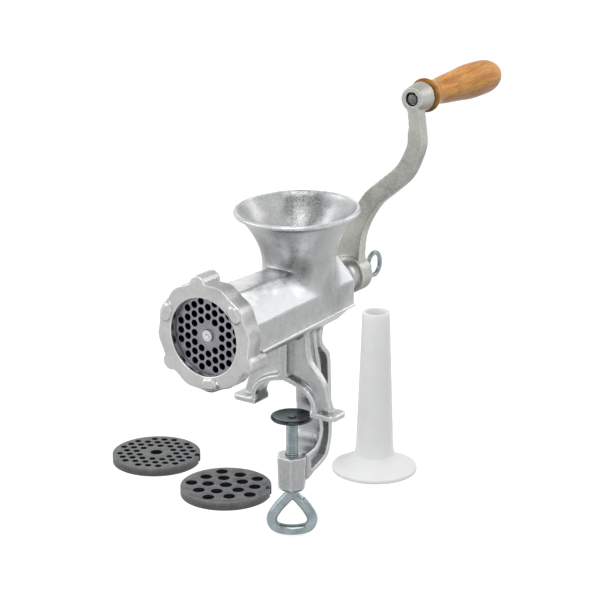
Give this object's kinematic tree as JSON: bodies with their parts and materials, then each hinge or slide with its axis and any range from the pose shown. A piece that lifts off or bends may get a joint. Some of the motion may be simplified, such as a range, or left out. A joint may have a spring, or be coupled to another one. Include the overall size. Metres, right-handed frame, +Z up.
{
  "type": "hand crank meat grinder",
  "caption": "Table-clamped hand meat grinder with flared hopper, crank with wooden handle, screwed ring with hole plate, and loose plates and stuffing tube beside it.",
  "frame": {"origin": "on the table top, under the feet's soles, on the clamp screw's axis", "axes": "+Z up along the clamp screw, +Y along the barrel from the outlet to the crank, +X to the side that the crank's handle stands on at rest"},
  "size_m": [0.1962, 0.3957, 0.3504],
  "materials": {
    "tinned_iron": "hot-dip tinned casting, matt and finely mottled",
    "cast_crank": "tinned casting, slightly warmer and duller than the body",
    "plate_steel": "ground steel, grey",
    "loose_plate_steel": "ground steel, dark grey and matt",
    "tool_steel": "ground steel",
    "zinc_steel": "zinc-plated steel, slightly blue",
    "disc_steel": "zinc-plated pressed steel, dark blue-green",
    "washer_fibre": "hard fibre washer, red-brown",
    "beech": "oiled beech",
    "milky_plastic": "milky polyethylene"
  },
  "bodies": {
    "housing": {"grinder_body": "tinned_iron", "plate_key": "tool_steel", "thrust_washer": "washer_fibre"},
    "rotor": {"auger_screw": "tinned_iron", "auger_stud": "tool_steel", "cutter_knife": "tool_steel"},
    "crank": {"crank_arm": "cast_crank", "handle_pin": "zinc_steel", "handle_washer": "tool_steel"},
    "thumb": {"crank_screw": "zinc_steel"},
    "handle": {"wood_handle": "beech"},
    "plate": {"plate_medium": "plate_steel"},
    "ring": {"ring_nut": "tinned_iron"},
    "disc": {"clamp_disc": "disc_steel"},
    "screw": {"clamp_screw": "zinc_steel"},
    "fine_plate": {"plate_fine": "loose_plate_steel"},
    "coarse_plate": {"plate_coarse": "loose_plate_steel"},
    "tube": {"stuffing_tube": "milky_plastic"}
  },
  "joints": [
    {"name": "crank_turn", "type": "hinge", "parent": "housing", "child": "rotor", "pos_m": [0, 0, 0.085], "axis": [0, 1, 0], "continuous": true},
    {"name": "crank_pull", "type": "slide", "parent": "rotor", "child": "crank", "axis": [0, 1, 0], "range_m": [0, 0.012]},
    {"name": "thumb_turn", "type": "hinge", "parent": "crank", "child": "thumb", "pos_m": [0, 0, 0.085], "axis": [0, 1, 0], "range_deg": [0, 3456]},
    {"name": "handle_spin", "type": "hinge", "parent": "crank", "child": "handle", "pos_m": [0.0545, 0, 0.23], "axis": [0, 1, 0], "continuous": true},
    {"name": "plate_slide", "type": "slide", "parent": "housing", "child": "plate", "axis": [0, -1, 0], "range_m": [0, 0.01]},
    {"name": "ring_turn", "type": "hinge", "parent": "plate", "child": "ring", "pos_m": [0, 0, 0.085], "axis": [0, -1, 0], "range_deg": [0, 1200]},
    {"name": "clamp_travel", "type": "slide", "parent": "housing", "child": "disc", "axis": [0, 0, 1], "range_m": [-0.025, 0.0015]},
    {"name": "clamp_turn", "type": "hinge", "parent": "disc", "child": "screw", "pos_m": [0, 0, 0], "axis": [0, 0, 1], "range_deg": [-4500, 270]},
    {"name": "fine_plate_lift", "type": "slide", "parent": "housing", "child": "fine_plate", "axis": [0, 0, 1], "range_m": [0, 0.03]},
    {"name": "coarse_plate_lift", "type": "slide", "parent": "housing", "child": "coarse_plate", "axis": [0, 0, 1], "range_m": [0, 0.03]},
    {"name": "tube_lift", "type": "slide", "parent": "housing", "child": "tube", "axis": [0, 0, 1], "range_m": [0, 0.03]}
  ],
  "couplings": [
    {"joint": "thumb_turn", "follows": "crank_pull", "rad_per_m": 5026.5},
    {"joint": "ring_turn", "follows": "plate_slide", "rad_per_m": 2094.4},
    {"joint": "clamp_turn", "follows": "clamp_travel", "rad_per_m": 3141.6}
  ]
}
